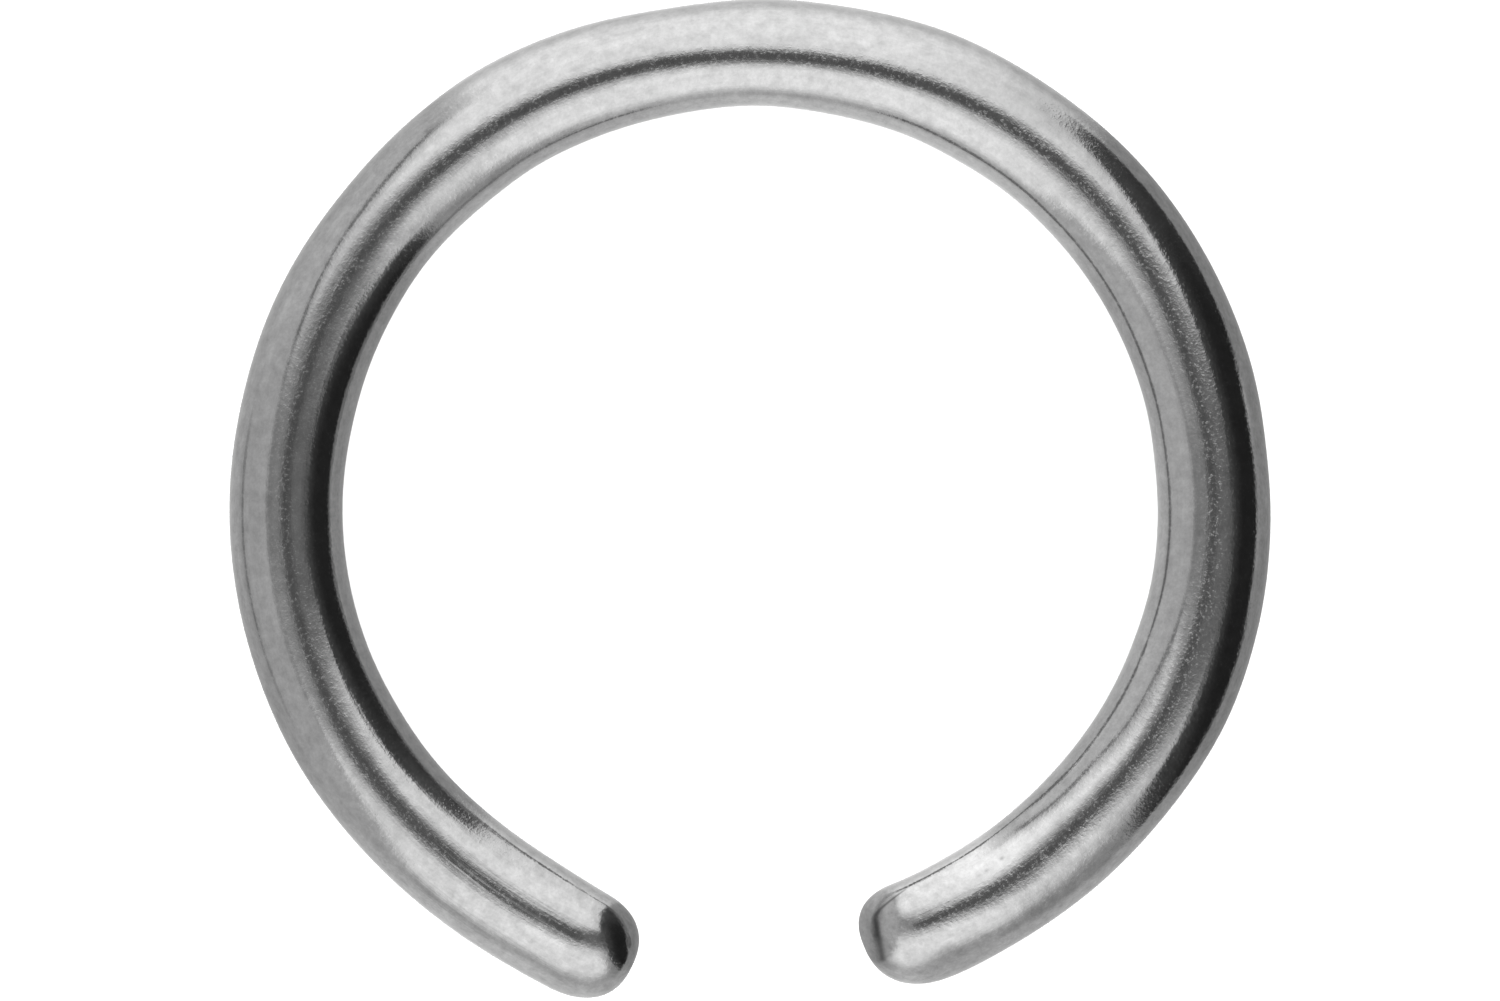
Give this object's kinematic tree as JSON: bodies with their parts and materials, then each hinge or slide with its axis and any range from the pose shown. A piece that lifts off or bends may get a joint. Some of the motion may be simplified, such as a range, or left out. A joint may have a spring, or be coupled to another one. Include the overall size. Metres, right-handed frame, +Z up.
{
  "type": "open wire ring of a captive bead ring, without its bead",
  "caption": "Open ring of round polished wire with a gap between two rounded ends, worn in a piercing and closed by a dimpled bead.",
  "frame": {"origin": "centre of the ring's circle, on the surface that the ring lies on", "axes": "+Z up through the ring's hole, -Y from the centre towards the middle of the gap, +X to the right with the gap nearest"},
  "size_m": [0.0148, 0.0141, 0.0016],
  "materials": {
    "polished_wire": "polished, with a fine grain and small scratches"
  },
  "bodies": {
    "root": {"ring": "polished_wire"}
  },
  "joints": []
}
